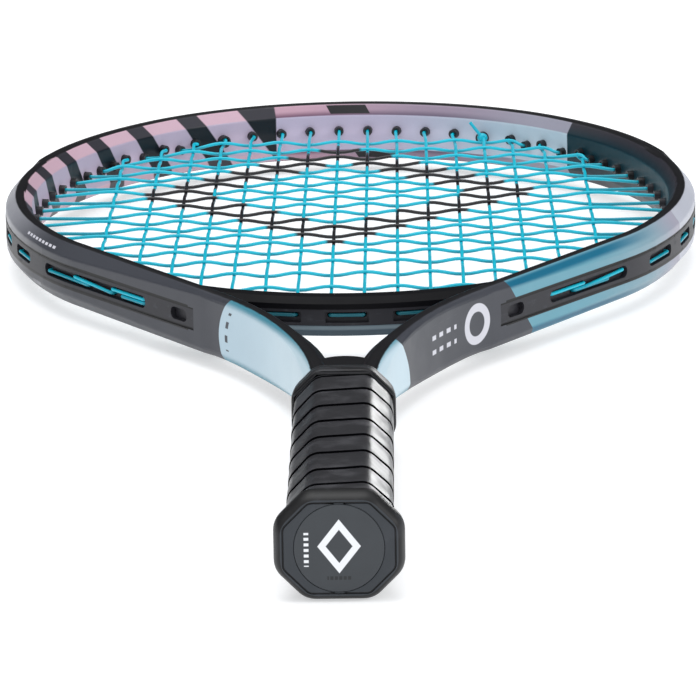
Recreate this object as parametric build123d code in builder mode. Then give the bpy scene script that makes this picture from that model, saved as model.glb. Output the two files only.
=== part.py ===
from build123d import *
from math import atan2, cos, degrees, hypot, radians, sin
import os

# ---------------------------------------------------------------------------
# A 25 inch junior tennis racket lying flat: +Y runs from the butt to the head,
# +Z up, +X to the right. The origin is under the middle of its bounding box.
# Plan positions are given as (x, y): y is measured from the butt end face, and
# heights are measured from the string plane.
# ---------------------------------------------------------------------------

# Overall
LENGTH = 635.0
STRING_HEIGHT = 16.5            # string plane above the surface it lies on

# Frame centreline, from the middle of the head round to the throat: tangent
# arcs as (radius, degrees), then a straight arm and a reverse curve.
HEAD_ARCS = [(106, 20.0), (111, 27.5), (160, 23.5), (206, 23.5), (203, 20.0), (130, 10.5)]
ARM_RUN = 85.0
THROAT_RADIUS = 200.0
TUBE_WALL = 1.3
SHAFT_END = 14.0                # where the two shafts end inside the handle
WEB_END, CROTCH = 150.0, 187.0  # the web that joins the two shafts
CROTCH_RADIUS, WEB_SUNK = 9.0, 0.5

# Tube sections: outer face and its half height, crest's outer and inner edge,
# crest height, inner face and its half height, all across the centreline.
HOOP_SECTION = (5.5, 7.0, 1.5, -1.5, 11.5, -4.5, 7.0)
ARM_SECTION = (6.0, 9.3, 4.8, 1.8, 11.5, -5.5, 5.5)
SHAFT_SECTION = (3.4, 4.5, 1.0, -3.5, 8.8, -5.5, 7.0)
EDGE_RADIUS = 1.8
GROOVE_FLOOR = 2.5              # groove for the grommet strips, in the outer face
GROOVE_HALF_HEIGHT = 4.0

# Head guard and grommet strips
GUARD_PROUD = 0.9
STRIP_BASE = 1.0                # strip material under the string loops
LOOP_GAP, BRIDGE_LOOP_GAP = 0.65, 0.3   # air under the loops, round the hoop and on the bridge
STRIP_FACE = 5.6                # outer face of the side strips
SLOT_HALF_HEIGHT = 2.2          # slots over the string loops
GUARD_TURN = 76.0               # heading at which the head guard stops
STRIP_GAP = 0.5                 # degrees from there to the side strips
SLOT_PAST_GUARD = 6.0           # a side strip's first slot may start under the guard
GUARD_LIP = 0.5                 # the guard starts this far outside the crest
SLOT_MARGIN, SLOT_DEPTH = 1.6, 6.0
SPARE_SLOT = (6.5, 13.5)        # the spare slot's ends, back from the strip's lower end
STRIP_END = 299.0
BARREL, BORE = 3.6, 2.0         # grommet barrels
SHARED_BARREL, SHARED_BORE = 4.8, 3.4   # grommets that take a tie-off as well
BORE_PAST_BASE = 8.0            # every bore is cut this far past the strip's base
BARREL_CLEARANCE = 0.1
BARREL_PROTRUDES = 2.3
BARREL_ROOT = 0.3               # how far a barrel grows out of its strip's base
BORE_OVERRUN = 1.0              # cuts for holes and bores run past the solid
CORNER_LEAD = 4.5               # the barrel that clears the corner with the bridge
MOUTH = 0.6                     # from the barrel's mouth to the string's bend

# Strings: 16 mains and 19 crosses, in two pieces
STRING = 1.3
WEAVE = 1.20                    # corner height of the woven path
LAYER = 0.75                    # mains leave the bed this much up, crosses down
MAIN_X = [5.9, 17.7, 29.4, 41.2, 52.7, 64.0, 76.4, 91.0]
CROSS_Y = [602.0, 586.0, 571.5, 558.6, 546.5, 534.2, 521.8, 509.1, 496.0, 482.3,
           468.4, 454.7, 441.6, 428.7, 415.3, 400.6, 383.7, 364.0, 341.3]
CROSS_END_DROP = {0: 5.5, 1: 4.6, 2: 6.0, 3: 2.0, 17: 4.5}
DROP_RUN = 16.0                 # those crosses bend down over this last stretch
BRIDGE_MAINS = 5                # the inner five mains each side pass the bridge
BRIDGE_LEAN = 0.42              # the outermost of those leans in, clear of the arm
EXIT_BEND = 0.9                 # bend radius at the ends of a loop
TIP_BEND = 2.5                  # bend radius where a string enters a grommet
SIDE_MARGIN, BOTTOM_MARGIN, TOP_MARGIN = 1.0, 4.0, 2.5  # no crossing nearer the frame
KNOT_RADIUS, KNOT_LENGTH, KNOT_EDGE = 1.9, 3.8, 1.2
KNOT_DISTANCE = 3.4             # from the grommet's mouth to the middle of the knot
TAIL, TAIL_ROOT = 7.0, 0.7      # the string's loose end, and how deep it starts in the knot

# Throat bridge: a beam curved about a point on the string side
BRIDGE_CENTRE = 395.0
BRIDGE_RADIUS = 100.0           # to its throat side
BRIDGE_WIDTH = 10.0
BRIDGE_TURN = 51.0              # half its length, in degrees, before it is trimmed
BRIDGE_HALF_HEIGHT = 7.0
BRIDGE_WALL = 1.6
BRIDGE_CHAMFER = 2.2
BRIDGE_BITE = 0.2               # how far its ends reach into the arms' moulded shape
BRIDGE_HOLE_DEPTH = 16.0
BRIDGE_HOLES_REACH = 75.0       # string holes further out than this miss the bridge
TRIM_PAST_ARM, TRIM_WIDTH = 20.0, 60.0  # plan area that trims the bridge's ends
BRIDGE_GROOVE = 2.6
BRIDGE_GROOVE_HALF_HEIGHT = 2.9
BRIDGE_STRIP_REACH, BRIDGE_STRIP_SUNK = 48.5, 0.2
BRIDGE_SLOT_HALF_HEIGHT = 1.9

# Handle, as octagons (width, height, corner)
PALLET = (28.6, 24.0, 6.6)
GRIP = (31.8, 27.0, 7.3)
PALLET_START, PALLET_END = 3.0, 176.0
CAP_RIM = [(0.0, (34.5, 28.8, 8.0)), (1.6, (37.4, 31.4, 8.6)), (5.0, (39.0, 33.0, 9.0)),
           (8.5, (38.0, 32.0, 8.8))]
SKIRT_END, SKIRT_WALL = 24.0, 1.2
PLUG_RADIUS, PLUG_THICKNESS, PLUG_EDGE, CAP_DOOR_RADIUS = 13.4, 2.2, 0.3, 12.0
GRIP_FLARE = [(8.6, (36.6, 31.2, 8.6)), (16.0, (33.8, 28.8, 7.9)), (26.0, (32.4, 27.6, 7.5)),
              (34.0, GRIP)]
GRIP_END = 166.0
FINISH_TAPE_START, FINISH_TAPE_END, FINISH_TAPE_THICKNESS = 158.0, 165.0, 0.25
COLLAR = [(161.0, (33.4, 28.6, 7.7)), (168.0, (32.8, 27.2, 7.5)), (186.0, (31.0, 23.6, 6.6))]
STAPLE_WIRE, STAPLE_CROWN, STAPLE_LEG, STAPLE_Y = 0.9, 9.0, 5.0, 17.0

GUARD_RADIUS = HOOP_SECTION[0] + GUARD_PROUD
HEAD_TOP = LENGTH - GUARD_RADIUS
BUTT = -LENGTH / 2
MIDDLE_OF_BED = 468.4
DEEP_INSIDE = -30.0             # stands for any place well inside the hoop
INNER_FACE = HOOP_SECTION[5]
LOOP_OFFSET = GROOVE_FLOOR + STRIP_BASE + STRING / 2 + LOOP_GAP
racket = Plane(origin=(0, BUTT, STRING_HEIGHT))
os.makedirs("parts", exist_ok=True)


# ---------------------------------------------------------------------------
# Plan geometry of the frame centreline, right-hand half
# ---------------------------------------------------------------------------
def centreline():
    """The arcs as (centre x, centre y, radius, start, end) and the joints between them."""
    x, y, heading = 0.0, HEAD_TOP, 0.0
    arcs = []
    joints = [(x, y, heading)]
    for radius, turn in HEAD_ARCS:
        cx = x - radius * sin(radians(heading))
        cy = y - radius * cos(radians(heading))
        arcs.append((cx, cy, radius, heading, heading + turn))
        heading += turn
        x = cx + radius * sin(radians(heading))
        y = cy + radius * cos(radians(heading))
        joints.append((x, y, heading))
    x += ARM_RUN * cos(radians(heading))
    y -= ARM_RUN * sin(radians(heading))
    joints.append((x, y, heading))
    return arcs, joints


RIM_ARCS, RIM_JOINTS = centreline()
ARM_START, ARM_END = RIM_JOINTS[-2:]


def throat_point(heading):
    """A point on the reverse curve below the arm, as (x, y, heading)."""
    x, y, start = ARM_END
    cx = x + THROAT_RADIUS * sin(radians(start))
    cy = y + THROAT_RADIUS * cos(radians(start))
    return (cx - THROAT_RADIUS * sin(radians(heading)),
            cy - THROAT_RADIUS * cos(radians(heading)), heading)


def rim_at(x, y):
    """How far a plan point lies outside the centreline, and the outward direction there."""
    side = -1 if x < 0 else 1
    x = abs(x)
    sx, sy, heading = ARM_START
    out = (sin(radians(heading)), cos(radians(heading)))
    if (x - sx) * out[1] - (y - sy) * out[0] > 0:
        return (x - sx) * out[0] + (y - sy) * out[1], side * out[0], out[1]
    for cx, cy, radius, start, end in RIM_ARCS:
        bearing = atan2(x - cx, y - cy)
        if start - 1e-6 <= degrees(bearing) <= end + 1e-6:
            return hypot(x - cx, y - cy) - radius, side * sin(bearing), cos(bearing)
    return DEEP_INSIDE, 0.0, 1.0


def reach(x, y, dx, dy, offset):
    """Where a ray from inside the hoop meets an offset of the centreline."""
    near, far = 0.0, 180.0
    for _ in range(50):
        middle = (near + far) / 2
        if rim_at(x + dx * middle, y + dy * middle)[0] < offset:
            near = middle
        else:
            far = middle
    return x + dx * near, y + dy * near


def bridge_y(depth, x):
    """Height up the racket of a line inside the bridge's throat side."""
    return BRIDGE_CENTRE - ((BRIDGE_RADIUS - depth) ** 2 - x ** 2) ** 0.5


# ---------------------------------------------------------------------------
# String holes. Each is the place on the wall that faces the strings, the
# direction through the wall, and how far it runs to the string loop outside.
# ---------------------------------------------------------------------------
MAINS = [-x for x in reversed(MAIN_X)] + MAIN_X
LAST_MAIN, LAST_CROSS = len(MAINS) - 1, len(CROSS_Y) - 1


def rim_hole(x, y, lead=BARREL_PROTRUDES):
    out = rim_at(x, y)[1:]
    return {"at": (x, y), "out": out, "run": LOOP_OFFSET - INNER_FACE, "lead": lead}


def bridge_hole(x):
    lean = -BRIDGE_LEAN if abs(x) > MAIN_X[3] else 0.0
    out = (lean * (1 if x > 0 else -1), -(1 - lean ** 2) ** 0.5)
    top = bridge_y(BRIDGE_WIDTH, x)
    loop_depth = BRIDGE_GROOVE - STRIP_BASE - STRING / 2 - BRIDGE_LOOP_GAP
    exit_x = x + out[0] * BRIDGE_WIDTH
    run = (top - bridge_y(loop_depth, exit_x)) / -out[1]
    return {"at": (x, top), "out": out, "run": run, "lead": BARREL_PROTRUDES}


def main_hole(i, end):
    x = MAINS[i]
    if end == "bottom" and abs(x) <= MAIN_X[BRIDGE_MAINS - 1]:
        return bridge_hole(x)
    step = 1 if end == "top" else -1
    beside_bridge = end == "bottom" and abs(x) == MAIN_X[BRIDGE_MAINS]
    lead = CORNER_LEAD if beside_bridge else BARREL_PROTRUDES
    return rim_hole(*reach(x, MIDDLE_OF_BED, 0, step, INNER_FACE), lead)


def cross_hole(j, side):
    y = CROSS_Y[j] - CROSS_END_DROP.get(j, 0.0)
    return rim_hole(*reach(0, y, side, 0, INNER_FACE))


def along(hole, distance, z=0.0):
    """A point on a hole's axis, measured outward from the wall's inner face."""
    (x, y), (dx, dy) = hole["at"], hole["out"]
    return (x + dx * distance, y + dy * distance, z)


def mouth(hole, z):
    """Where a string bends to enter a grommet from the bed."""
    return along(hole, -hole["lead"] - MOUTH, z)


def outside(hole, z):
    """Where a string turns from a grommet into the groove outside."""
    return along(hole, hole["run"], z)


def cross_y(j, x):
    """Height up the racket of cross j at x, with its bend near the frame."""
    reach_x = cross_hole(j, 1)["at"][0]
    share = max(0.0, (abs(x) - reach_x + DROP_RUN) / DROP_RUN)
    return CROSS_Y[j] - CROSS_END_DROP.get(j, 0.0) * min(1.0, share)


def crosses(i, j):
    """Whether main i and cross j meet inside the hoop."""
    x = MAINS[i]
    if abs(x) > cross_hole(j, 1)["at"][0] - BARREL_PROTRUDES - SIDE_MARGIN:
        return False
    y = cross_y(j, x)
    lowest = main_hole(i, "bottom")["at"][1] + BOTTOM_MARGIN
    return lowest < y < main_hole(i, "top")["at"][1] - TOP_MARGIN


MEETS = {(i, j): crosses(i, j) for i in range(len(MAINS)) for j in range(len(CROSS_Y))}
SHARED_TOP, SHARED_BOTTOM = [MAIN_X[4]], [MAIN_X[5], MAIN_X[6]]


def node(i, j, upper):
    """The woven corner where main i meets cross j."""
    lift = WEAVE if (i + j) % 2 == 0 else -WEAVE
    return (MAINS[i], cross_y(j, MAINS[i]), lift if upper else -lift)


# ---------------------------------------------------------------------------
# Shared shapes
# ---------------------------------------------------------------------------
def section_plane(joint):
    """A plane across the tube: local x points outward, local y up."""
    x, y, heading = joint
    out = (sin(radians(heading)), cos(radians(heading)), 0)
    ahead = (cos(radians(heading)), -sin(radians(heading)), 0)
    return Plane(origin=(x, BUTT + y, STRING_HEIGHT), x_dir=out, z_dir=ahead)


def across(y):
    """A plane across the handle: local x to the right, local y up."""
    return Plane(origin=(0, BUTT + y, STRING_HEIGHT), x_dir=(1, 0, 0), z_dir=(0, -1, 0))


def hole_plane(hole, distance, z):
    """A plane square to a string hole, facing outward."""
    x, y = along(hole, distance)[:2]
    return Plane(origin=(x, BUTT + y, STRING_HEIGHT + z), z_dir=(*hole["out"], 0))


def tube_outline(section):
    outer, outer_z, crest_out, crest_in, top, inner, inner_z = section
    upper = [(outer, outer_z), (crest_out, top), (crest_in, top), (inner, inner_z)]
    return upper + [(x, -z) for x, z in reversed(upper)]


def between(first, second, share):
    return tuple(a + (b - a) * share for a, b in zip(first, second))


def octagon(width, height, corner):
    w, h = width / 2, height / 2
    return [(w, h - corner), (w - corner, h), (corner - w, h), (-w, h - corner),
            (-w, corner - h), (corner - w, -h), (w - corner, -h), (w, corner - h)]


def grown(size, amount):
    """An octagon's sizes with every face moved out by an amount."""
    width, height, corner = size
    return width + 2 * amount, height + 2 * amount, corner + 2 * amount * (1 - 2 ** 0.5 / 2)


def rim_line(last_joint):
    """The centreline from the middle of the head to a joint, as tangent arcs."""
    for (x, y, heading), (radius, turn) in zip(RIM_JOINTS[:last_joint], HEAD_ARCS):
        direction = (cos(radians(heading)), -sin(radians(heading)))
        JernArc(start=(x, y), tangent=direction, radius=radius, arc_size=-turn)


def cylinder_along(hole, start, end, radius, z, mode=Mode.ADD):
    with BuildSketch(hole_plane(hole, start, z)) as disc:
        Circle(radius)
    extrude(disc.sketch, amount=end - start, mode=mode)


def all_holes():
    """Every string hole on the right-hand half as (hole, height, shared)."""
    holes = []
    for i, x in enumerate(MAINS):
        if x > 0:
            holes.append((main_hole(i, "top"), LAYER, x in SHARED_TOP))
            holes.append((main_hole(i, "bottom"), LAYER, x in SHARED_BOTTOM))
    for j in range(len(CROSS_Y)):
        holes.append((cross_hole(j, 1), -LAYER, False))
    return holes


def on_side(hole, side):
    (x, y), (dx, dy) = hole["at"], hole["out"]
    return {**hole, "at": (side * x, y), "out": (side * dx, dy)}


def cut_string_holes(holes, depth, side=1):
    for hole, z, shared in holes:
        radius = (SHARED_BARREL if shared else BARREL) / 2 + BARREL_CLEARANCE
        cylinder_along(on_side(hole, side), -hole["lead"] - MOUTH, depth, radius,
                       0 if shared else z, Mode.SUBTRACT)


# ---------------------------------------------------------------------------
# Frame: one hollow hairpin tube, built as its right-hand half and mirrored
# ---------------------------------------------------------------------------
GROOVE_SHARE = (ARM_START[1] - STRIP_END) / (ARM_START[1] - ARM_END[1])
THROAT_STEPS = [0.0, 0.2, 0.4, 0.6, 0.8, 1.0]
SECTION_CHANGE = 0.45           # share of the reverse curve before the tube narrows


def tube_face(joint, section, grooved, inset):
    """The tube's section, grooved on its outer face, or the hollow at an inset inside it."""
    outer = section[0]
    with BuildSketch(section_plane(joint)) as face:
        Polygon(*tube_outline(section), align=None)
        if not inset:
            fillet(face.vertices(), EDGE_RADIUS)
        if grooved:
            with Locations(((outer + GROOVE_FLOOR) / 2, 0)):
                Rectangle(outer - GROOVE_FLOOR, 2 * GROOVE_HALF_HEIGHT, mode=Mode.SUBTRACT)
        if inset:
            offset(amount=-inset, kind=Kind.INTERSECTION)
    return face.sketch


def tube_half(inset, mode):
    """The right-hand half of the tube, or the hollow inside it."""
    with BuildLine(racket) as head_line:
        rim_line(len(HEAD_ARCS))
    sweep(tube_face(RIM_JOINTS[0], HOOP_SECTION, True, inset), head_line.line, mode=mode)
    groove_end = GROOVE_SHARE + inset / ARM_RUN
    for low, high, grooved in ((0, groove_end, True), (groove_end, 1, False)):
        faces = []
        for share in (low, (low + high) / 2, high):
            section = between(HOOP_SECTION, ARM_SECTION, share)
            faces.append(tube_face(between(ARM_START, ARM_END, share), section, grooved, inset))
        loft(faces, mode=mode)
    faces = []
    for share in THROAT_STEPS:
        change = max(0.0, (share - SECTION_CHANGE) / (1 - SECTION_CHANGE))
        section = between(ARM_SECTION, SHAFT_SECTION, change)
        heading = ARM_END[2] + (90 - ARM_END[2]) * share
        faces.append(tube_face(throat_point(heading), section, False, inset))
    loft(faces, mode=mode)
    shaft_top = throat_point(90)
    face = tube_face(shaft_top, SHAFT_SECTION, False, inset)
    extrude(face, amount=shaft_top[1] - SHAFT_END, mode=mode)


def shaft_web():
    """The right half of the web that joins the two shafts at the crotch."""
    inner = throat_point(90)[0] + SHAFT_SECTION[5] + TUBE_WALL / 2
    with BuildSketch(racket) as plan:
        with BuildLine():
            Line((0, CROTCH), (0, WEB_END))
            Line((0, WEB_END), (inner, WEB_END))
            Line((inner, WEB_END), (CROTCH_RADIUS, CROTCH + CROTCH_RADIUS))
            TangentArc((0, CROTCH), (CROTCH_RADIUS, CROTCH + CROTCH_RADIUS), tangent=(-1, 0),
                       tangent_from_first=True)
        make_face()
    extrude(plan.sketch, amount=SHAFT_SECTION[4] - WEB_SUNK, both=True)


# The tube's outer shape without its hollow, to shape what is moulded round it
with BuildPart() as tube_shape:
    tube_half(0, Mode.ADD)
    shaft_web()
    mirror(about=Plane.YZ)

with BuildPart() as hairpin:
    tube_half(0, Mode.ADD)
    tube_half(TUBE_WALL, Mode.SUBTRACT)
    shaft_web()
    cut_string_holes(all_holes(), GUARD_RADIUS - INNER_FACE + BORE_OVERRUN)
    mirror(about=Plane.YZ)
hairpin.part.label = "frame_hairpin"
export_step(hairpin.part, "parts/frame_hairpin.step")


# Throat bridge: a hollow curved beam between the arms, grooved on its throat side
def bridge_band(low, high, left, right):
    """A band inside the bridge's throat side, between two depths and two widths."""
    ends = []
    with BuildSketch(racket) as plan:
        with BuildLine():
            for depth in (low, high):
                points = [(x, bridge_y(depth, x)) for x in (left, (left + right) / 2, right)]
                ThreePointArc(*points)
                ends.append((points[0], points[2]))
            Line(ends[0][0], ends[1][0])
            Line(ends[0][1], ends[1][1])
        make_face()
    return plan.sketch


def beyond_arm(offset):
    """The plan area outside an offset of the right arm."""
    x, y, heading = ARM_START
    ahead = (cos(radians(heading)), -sin(radians(heading)))
    out = (-ahead[1], ahead[0])
    low, high = -TRIM_PAST_ARM, ARM_RUN + TRIM_PAST_ARM
    corners = [(low, offset), (high, offset), (high, TRIM_WIDTH), (low, TRIM_WIDTH)]
    with BuildSketch(racket) as plan:
        Polygon(*[(x + ahead[0] * a + out[0] * b, y + ahead[1] * a + out[1] * b)
                  for a, b in corners], align=None)
    return plan.sketch


def holes_near_bridge():
    return [h for h in all_holes()
            if h[0]["at"][1] < BRIDGE_CENTRE and h[0]["at"][0] < BRIDGE_HOLES_REACH]


bridge_middle = Plane(origin=(0, BUTT + BRIDGE_CENTRE, STRING_HEIGHT), x_dir=(0, -1, 0),
                      z_dir=(-1, 0, 0))
bridge_axis = Axis((0, BUTT + BRIDGE_CENTRE, STRING_HEIGHT), (0, 0, 1))

with BuildPart() as bridge:
    with BuildSketch(bridge_middle) as beam:
        with Locations((BRIDGE_RADIUS - BRIDGE_WIDTH / 2, 0)):
            Rectangle(BRIDGE_WIDTH, 2 * BRIDGE_HALF_HEIGHT)
        chamfer(beam.vertices(), BRIDGE_CHAMFER)
        offset(amount=-BRIDGE_WALL, kind=Kind.INTERSECTION, mode=Mode.SUBTRACT)
        with Locations((BRIDGE_RADIUS, 0)):
            Rectangle(2 * (BRIDGE_GROOVE + BRIDGE_WALL),
                      2 * (BRIDGE_GROOVE_HALF_HEIGHT + BRIDGE_WALL))
        with Locations((BRIDGE_RADIUS, 0)):
            Rectangle(2 * BRIDGE_GROOVE, 2 * BRIDGE_GROOVE_HALF_HEIGHT, mode=Mode.SUBTRACT)
        with Locations((BRIDGE_RADIUS + BRIDGE_WIDTH, 0)):
            Rectangle(2 * BRIDGE_WIDTH, 4 * BRIDGE_HALF_HEIGHT, mode=Mode.SUBTRACT)
    revolve(beam.sketch, bridge_axis, BRIDGE_TURN)
    revolve(beam.sketch, bridge_axis, -BRIDGE_TURN)
    excess = beyond_arm(INNER_FACE + BRIDGE_BITE)
    extrude(excess, amount=BRIDGE_HALF_HEIGHT, both=True, mode=Mode.SUBTRACT)
    extrude(mirror(excess, about=Plane.YZ, mode=Mode.PRIVATE), amount=BRIDGE_HALF_HEIGHT,
            both=True, mode=Mode.SUBTRACT)
    for side in (1, -1):
        cut_string_holes(holes_near_bridge(), BRIDGE_HOLE_DEPTH, side)
    add(hairpin.part, mode=Mode.SUBTRACT)
bridge.part.label = "throat_bridge"
export_step(bridge.part, "parts/throat_bridge.step")


# ---------------------------------------------------------------------------
# Head guard and grommet strips: moulded nylon, with a barrel in every hole
# ---------------------------------------------------------------------------
def rim_point(heading):
    """The centreline at a heading on the head arcs, as (x, y, heading)."""
    for cx, cy, radius, start, end in RIM_ARCS:
        if start <= heading <= end:
            return (cx + radius * sin(radians(heading)), cy + radius * cos(radians(heading)),
                    heading)
    return ARM_START


def arcs_between(first, last):
    """The head arcs between two headings, as one tangent line."""
    for cx, cy, radius, start, end in RIM_ARCS:
        a, b = max(first, start), min(last, end)
        if a < b:
            x, y, heading = rim_point(a)
            direction = (cos(radians(heading)), -sin(radians(heading)))
            JernArc(start=(x, y), tangent=direction, radius=radius, arc_size=a - b)


def guard_outline():
    outer, outer_z, crest, _, top = HOOP_SECTION[:5]
    slope = (top - outer_z) / (outer - crest)
    lip = crest + GUARD_LIP
    upper = [(outer, GROOVE_HALF_HEIGHT), (outer, outer_z), (lip, top - slope * GUARD_LIP),
             (lip + GUARD_PROUD * 0.6, top - slope * GUARD_LIP + GUARD_PROUD * 0.6),
             (GUARD_RADIUS, outer_z + GUARD_PROUD * 0.4), (GUARD_RADIUS, SLOT_HALF_HEIGHT),
             (GROOVE_FLOOR + STRIP_BASE, SLOT_HALF_HEIGHT)]
    lower = [(x, -z) for x, z in reversed(upper)]
    floor = [(GROOVE_FLOOR, -GROOVE_HALF_HEIGHT), (GROOVE_FLOOR, GROOVE_HALF_HEIGHT)]
    return upper + lower + floor


def barrels(chosen, base):
    """The barrels of the chosen holes, from a strip's base to inside the hoop."""
    for hole, z, shared in chosen:
        diameter, bore = (SHARED_BARREL, SHARED_BORE) if shared else (BARREL, BORE)
        z = 0 if shared else z
        cylinder_along(hole, -hole["lead"], base, diameter / 2, z)
        cylinder_along(hole, -hole["lead"] - BORE_OVERRUN, base + BORE_PAST_BASE, bore / 2, z,
                       Mode.SUBTRACT)


STRIP_TOP = GROOVE_FLOOR + STRIP_BASE - INNER_FACE
GUARD_Y = rim_point(GUARD_TURN)[1]
ON_BRIDGE = [h for h in all_holes() if h[0]["out"][1] < -0.9]
ON_GUARD = [h for h in all_holes() if h[0]["at"][1] > GUARD_Y]
ON_STRIP = [h for h in all_holes() if h[0]["at"][1] <= GUARD_Y and h not in ON_BRIDGE]

with BuildPart() as guard:
    with BuildLine(racket) as guard_line:
        arcs_between(0, GUARD_TURN)
    with BuildSketch(section_plane(RIM_JOINTS[0])) as guard_face:
        Polygon(*guard_outline(), align=None)
    sweep(guard_face.sketch, guard_line.line)
    barrels(ON_GUARD, STRIP_TOP - BARREL_ROOT)
    mirror(about=Plane.YZ)
guard.part.label = "head_guard"
export_step(guard.part, "parts/head_guard.step")


def cut_slot(a, b, depth):
    """A round-ended slot in a strip over the loop between two holes, down to a depth."""
    (ax, ay, _), (bx, by, _) = along(a, depth), along(b, depth)
    run = hypot(bx - ax, by - ay)
    out = ((ay - by) / run, (bx - ax) / run)
    if out[0] * a["out"][0] + out[1] * a["out"][1] < 0:
        out = (-out[0], -out[1])
    floor = Plane(origin=((ax + bx) / 2, BUTT + (ay + by) / 2, STRING_HEIGHT),
                  x_dir=(bx - ax, by - ay, 0), z_dir=(*out, 0))
    with BuildSketch(floor) as opening:
        SlotOverall(run + 2 * SLOT_MARGIN, 2 * SLOT_HALF_HEIGHT)
    extrude(opening.sketch, amount=SLOT_DEPTH, mode=Mode.SUBTRACT)


def side_strip(loops):
    """A side strip, always built on the right; loops are the pairs of holes it carries."""
    sx, sy, heading = ARM_START
    with BuildPart() as strip:
        with BuildLine(racket) as strip_line:
            arcs_between(GUARD_TURN + STRIP_GAP, ARM_START[2])
            run = (sy - STRIP_END) / sin(radians(heading))
            Line((sx, sy), (sx + run * cos(radians(heading)), STRIP_END))
        with BuildSketch(section_plane(rim_point(GUARD_TURN + STRIP_GAP))) as strip_face:
            with Locations(((GROOVE_FLOOR + STRIP_FACE) / 2, 0)):
                Rectangle(STRIP_FACE - GROOVE_FLOOR, 2 * GROOVE_HALF_HEIGHT)
        sweep(strip_face.sketch, strip_line.line)
        for a, b in loops:
            cut_slot(a, b, STRIP_TOP)
        barrels(ON_STRIP, STRIP_TOP - BARREL_ROOT)
    return strip.part


def arm_spot(from_end):
    """A place on the arm's inner face, measured back from the strip's lower end."""
    x, y, heading = ARM_START
    out = (sin(radians(heading)), cos(radians(heading)))
    run = (y - STRIP_END) / out[0] - from_end
    return {"at": (x + run * out[1] + out[0] * INNER_FACE, y - run * out[0] + out[1] * INNER_FACE),
            "out": out}


def cross_loops(first):
    return [(cross_hole(j, 1), cross_hole(j + 1, 1)) for j in range(first, LAST_CROSS, 2)
            if cross_hole(j + 1, 1)["at"][1] < GUARD_Y + SLOT_PAST_GUARD]


shoulder_loops = [(main_hole(LAST_MAIN, "bottom"), main_hole(LAST_MAIN - 1, "bottom")),
                  (main_hole(LAST_MAIN - 1, "bottom"), main_hole(LAST_MAIN - 2, "bottom"))]
tie_loop = [(cross_hole(LAST_CROSS, 1), main_hole(LAST_MAIN - 2, "bottom"))]
spare_slot = [tuple(arm_spot(place) for place in SPARE_SLOT)]

with BuildPart() as strip_right:
    add(side_strip(cross_loops(1) + shoulder_loops + spare_slot))
strip_right.part.label = "grommet_strip_right"
export_step(strip_right.part, "parts/grommet_strip_right.step")

with BuildPart() as strip_left:
    add(mirror(side_strip(cross_loops(0) + shoulder_loops + tie_loop + spare_slot),
               about=Plane.YZ, mode=Mode.PRIVATE))
strip_left.part.label = "grommet_strip_left"
export_step(strip_left.part, "parts/grommet_strip_left.step")

with BuildPart() as bridge_strip:
    band = bridge_band(BRIDGE_STRIP_SUNK, BRIDGE_GROOVE, -BRIDGE_STRIP_REACH, BRIDGE_STRIP_REACH)
    extrude(band, amount=BRIDGE_GROOVE_HALF_HEIGHT, both=True)
    for i in range(3, LAST_MAIN - 3, 2):
        band = bridge_band(-BORE_OVERRUN, BRIDGE_GROOVE - STRIP_BASE, MAINS[i] - SLOT_MARGIN,
                           MAINS[i + 1] + SLOT_MARGIN)
        extrude(band, amount=BRIDGE_SLOT_HALF_HEIGHT, both=True, mode=Mode.SUBTRACT)
    for i in range(3, LAST_MAIN - 2):
        hole = main_hole(i, "bottom")
        base = hole["run"] - STRING / 2 - BRIDGE_LOOP_GAP
        cylinder_along(hole, -BARREL_PROTRUDES, base, BARREL / 2, LAYER)
        cylinder_along(hole, -BARREL_PROTRUDES - BORE_OVERRUN, base + BRIDGE_GROOVE, BORE / 2,
                       LAYER, Mode.SUBTRACT)
bridge_strip.part.label = "grommet_strip_bridge"
export_step(bridge_strip.part, "parts/grommet_strip_bridge.step")


# ---------------------------------------------------------------------------
# Strings: two lengths, each woven over and under and looped outside the frame
# ---------------------------------------------------------------------------
def bend_radii(points, caps):
    """The largest tangent arc at each corner, held down by a cap where one is given."""
    radii = []
    for k in range(1, len(points) - 1):
        before = Vector(*points[k]) - Vector(*points[k - 1])
        after = Vector(*points[k + 1]) - Vector(*points[k])
        half_turn = radians(before.get_angle(after)) / 2
        shorter = min(before.length, after.length)
        largest = 0.45 * shorter / max(sin(half_turn) / cos(half_turn), 1e-3)
        radii.append(min(largest, caps.get(k, largest)))
    return radii


def string_along(points, caps):
    """A round string along straight runs joined by tangent arcs."""
    with BuildLine(racket) as route:
        FilletPolyline(*points, radius=bend_radii(points, caps))
    with BuildSketch(Plane(origin=route.line @ 0, z_dir=route.line % 0)) as face:
        Circle(STRING / 2)
    sweep(face.sketch, route.line, transition=Transition.RIGHT)


def main_nodes(i):
    """The woven corners of main i, from the bottom up."""
    return [node(i, j, True) for j in reversed(range(len(CROSS_Y))) if MEETS[i, j]]


def cross_nodes(j):
    """The woven corners of cross j, from left to right."""
    return [node(i, j, False) for i in range(len(MAINS)) if MEETS[i, j]]


def knot_place(i, end):
    """Middle of the knot round a main near its grommet, and the main's direction there."""
    start = Vector(*mouth(main_hole(i, end), LAYER))
    nearest = Vector(*main_nodes(i)[-1 if end == "top" else 0])
    direction = (nearest - start).normalized()
    return start + direction * KNOT_DISTANCE, direction


def tie_off(i, end):
    """A string's end, from its knot out through the grommet that it shares with main i."""
    hole = main_hole(i, end)
    knot_edge = knot_place(i, end)[0] - Vector(0, 0, KNOT_RADIUS - STRING / 2)
    return [tuple(knot_edge), mouth(hole, -LAYER), outside(hole, -LAYER)]


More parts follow.
